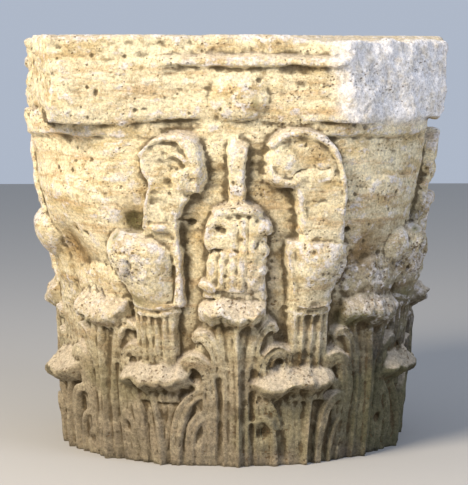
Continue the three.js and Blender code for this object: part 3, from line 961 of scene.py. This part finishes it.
# pores 1 to 4 mm across, ragged, crowded where the stone is rough and in some of its beds
squat = add_node("ShaderNodeMapping", {"Vector": place, "Scale": (1, 1, 1.3)})
ragged = add_node(
    "ShaderNodeVectorMath", {0: ripple, 1: (0.006, 0.006, 0.006), 2: squat}, operation="MULTIPLY_ADD"
)
pits = add_node("ShaderNodeTexVoronoi", {"Vector": ragged, "Scale": 1 / (5.3 * MM)}, "Distance").node
chosen = add_node(
    "ShaderNodeMapRange", {0: pits.outputs["Color"], 1: 0.2, 2: 1.0}, interpolation_type="SMOOTHSTEP"
)
crowding = add_node("ShaderNodeMath", {0: many, 1: most}, operation="MAXIMUM")
pore_size = add_node("ShaderNodeMath", {0: chosen, 1: crowding}, operation="MULTIPLY")
past_rim = add_node("ShaderNodeMath", {0: pits.outputs["Distance"], 1: pore_size}, operation="SUBTRACT")

# layers of colour from the stone outwards: what each follows, between which values it grows, its
# least and greatest share, what it is limited by, and its colour
# the soil's brown, painted darker towards the right-hand side as painted shade
soil_and_shade = add_node(
    "ShaderNodeMix", {0: to_right, 6: from_hex("#8c7f69"), 7: from_hex("#393530")}, 2, data_type="RGBA"
)
colour = from_hex("#ecdfba")
for follows, start, end, least, greatest, limit, tint in (
    (beds, 0.44, 0.7, 0, 1, 1, from_hex("#cbb585")),
    (streaks, 0.5, 0.66, 0, 0.6, 1, from_hex("#c29e70")),
    (patches, 0.56, 0.72, 0, 0.4, 1, from_hex("#d9c4ad")),
    (mottle, 0.47, 0.7, 0, 0.8, 1, from_hex("#a98f62")),
    (mottle, 0.3, 0.5, 0.4, 1, stain, from_hex("#a38556")),
    (mottle, 0.25, 0.6, 0.75, 1, soiled_and_shaded, soil_and_shade),
    (beds, 0.42, 0.6, 0, 0.4, soiled_and_shaded, from_hex("#5b5446")),
    (patches, 0.46, 0.6, 0, 0.35, soiled_and_shaded, from_hex("#74734c")),
    # dirt and painted shade: the hollows, the grooves and the narrow creases are painted darker
    (hollow, 0.2, 1.4, 0, 0.28, 1, from_hex("#7d6a49")),
    (groove, 0.2, 1.1, 0, 0.6, 1, from_hex("#655539")),
    (edge, 0.3, 1.2, 0, 0.7, 1, from_hex("#4d402c")),
    # faces that turn up are painted paler, as settled dust and as painted top light
    (rises, 0.1, 0.5, 0, 0.65, above_soil, from_hex("#cdbfa9")),
    (blotches, 0.46, 0.56, 0, 1, overgrown, from_hex("#dfdad8")),
    # the broken faces on the shaded right are painted pale grey, as fresh stone and as painted light
    (mottle, 0.62, 0.42, 0.55, 1, fresh_break_and_painted_light, from_hex("#eeebe8")),
    (grain, 0.4, 0.55, 0.2, 1, moss, from_hex("#5f6438")),
    # the pores are painted dark brown, as dirt in them and as painted shade inside them
    (past_rim, 0.12, -0.04, 0, 0.7, 1, from_hex("#6b5336")),
):
    cover = add_node(
        "ShaderNodeMapRange",
        {0: follows, 1: start, 2: end, 3: least, 4: greatest},
        interpolation_type="SMOOTHSTEP",
    )
    share = add_node("ShaderNodeMath", {0: cover, 1: limit}, operation="MULTIPLY")
    colour = add_node("ShaderNodeMix", {0: share, 6: colour, 7: tint}, 2, data_type="RGBA")
speckle = add_node(
    "ShaderNodeMapRange", {0: grain, 1: 0.32, 2: 0.68, 3: 0.6, 4: 1.3}, interpolation_type="SMOOTHSTEP"
)
colour = add_node(
    "ShaderNodeMix", {0: 1.0, 6: colour, 7: speckle}, 2, data_type="RGBA", blend_type="MULTIPLY"
)
wires.new(colour, shader.inputs["Base Color"])
shader.inputs["Roughness"].default_value = 0.92
shader.inputs["Specular IOR Level"].default_value = 0.25

pore = add_node("ShaderNodeMapRange", {0: past_rim, 1: 0.12, 2: -0.04}, interpolation_type="SMOOTHSTEP")
fine = add_node("ShaderNodeMath", {0: grain, 1: 0.9, 2: 0}, operation="MULTIPLY_ADD")
surface = add_node("ShaderNodeMath", {0: mottle, 1: 2.2, 2: fine}, operation="MULTIPLY_ADD")
pitted = add_node("ShaderNodeMath", {0: surface, 1: pore}, operation="SUBTRACT")
bump = add_node("ShaderNodeBump", {"Height": pitted, "Distance": 0.0025, "Strength": 1.0})
wires.new(bump, shader.inputs["Normal"])
block.data.materials.clear()
block.data.materials.append(travertine)

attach(block, "root")
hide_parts("capital")


# ---- Floor and light ------------------------------------------------------------------------------
# A plain pale studio: a soft warm light from the upper left, a weak cool one from the right, and an
# even sky.

bpy.ops.mesh.primitive_plane_add(size=12)
floor = bpy.context.object
floor.name = "floor"
pale = bpy.data.materials.new("pale_floor")
pale.use_nodes = True
pale.node_tree.nodes["Principled BSDF"].inputs["Base Color"].default_value = from_hex("#aaa8a4")
pale.node_tree.nodes["Principled BSDF"].inputs["Roughness"].default_value = 0.9
floor.data.materials.append(pale)

for name, place, size, energy, colour in (
    ("key", (-2.0, -2.4, 2.3), 1.5, 236, "#fff1dc"),
    ("fill", (2.4, -2.2, 1.9), 1.6, 55, "#dde4fb"),
):
    direction = Vector((0, 0, 0.3)) - Vector(place)
    turned = direction.to_track_quat("-Z", "Y").to_euler()
    bpy.ops.object.light_add(type="AREA", location=place, rotation=turned)
    light = bpy.context.object
    light.name = name
    light.data.size = size
    light.data.energy = energy
    light.data.color = from_hex(colour)[:3]

world = bpy.data.worlds.new("studio")
world.use_nodes = True
world.node_tree.nodes["Background"].inputs["Color"].default_value = from_hex("#d8e4f8")
world.node_tree.nodes["Background"].inputs["Strength"].default_value = 0.62
bpy.context.scene.world = world
bpy.context.scene.view_settings.view_transform = "Standard"
